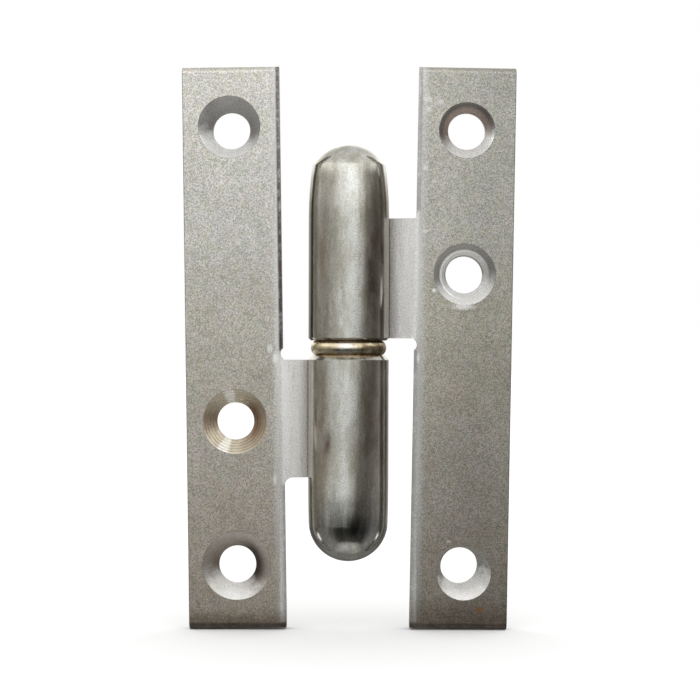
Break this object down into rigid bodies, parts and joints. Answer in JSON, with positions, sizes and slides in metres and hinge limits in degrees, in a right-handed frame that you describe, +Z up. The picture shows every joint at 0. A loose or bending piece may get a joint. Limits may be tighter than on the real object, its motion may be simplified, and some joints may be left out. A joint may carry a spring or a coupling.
{
  "type": "paumelle hinge",
  "caption": "Lift-off paumelle hinge with H-shaped steel leaves, round-ended knuckles on a fixed pin, a brass thrust washer and countersunk screw holes.",
  "frame": {"origin": "on the pin's axis, at the middle of the plates' height", "axes": "+Z up the pin, the way the upper leaf lifts off; the countersunk faces look along -Y; the lower leaf lies at -X and the upper leaf at +X, with the hinge laid open flat"},
  "size_m": [0.0476, 0.0114, 0.0802],
  "materials": {
    "leaf_steel": "satin ground plates, polished knuckles",
    "pin_steel": "drawn and bright",
    "washer_brass": "turned, slightly tarnished"
  },
  "bodies": {
    "lower_leaf": {"lower_leaf": "leaf_steel", "hinge_pin": "pin_steel"},
    "washer": {"thrust_washer": "washer_brass"},
    "upper_leaf": {"upper_leaf": "leaf_steel"}
  },
  "joints": [
    {"name": "leaf_swing", "type": "hinge", "parent": "lower_leaf", "child": "washer", "pos_m": [0, 0, 0], "axis": [0, 0, 1], "range_deg": [-180, 135]},
    {"name": "leaf_lift", "type": "slide", "parent": "washer", "child": "upper_leaf", "axis": [0, 0, 1], "range_m": [0, 0.024]}
  ]
}
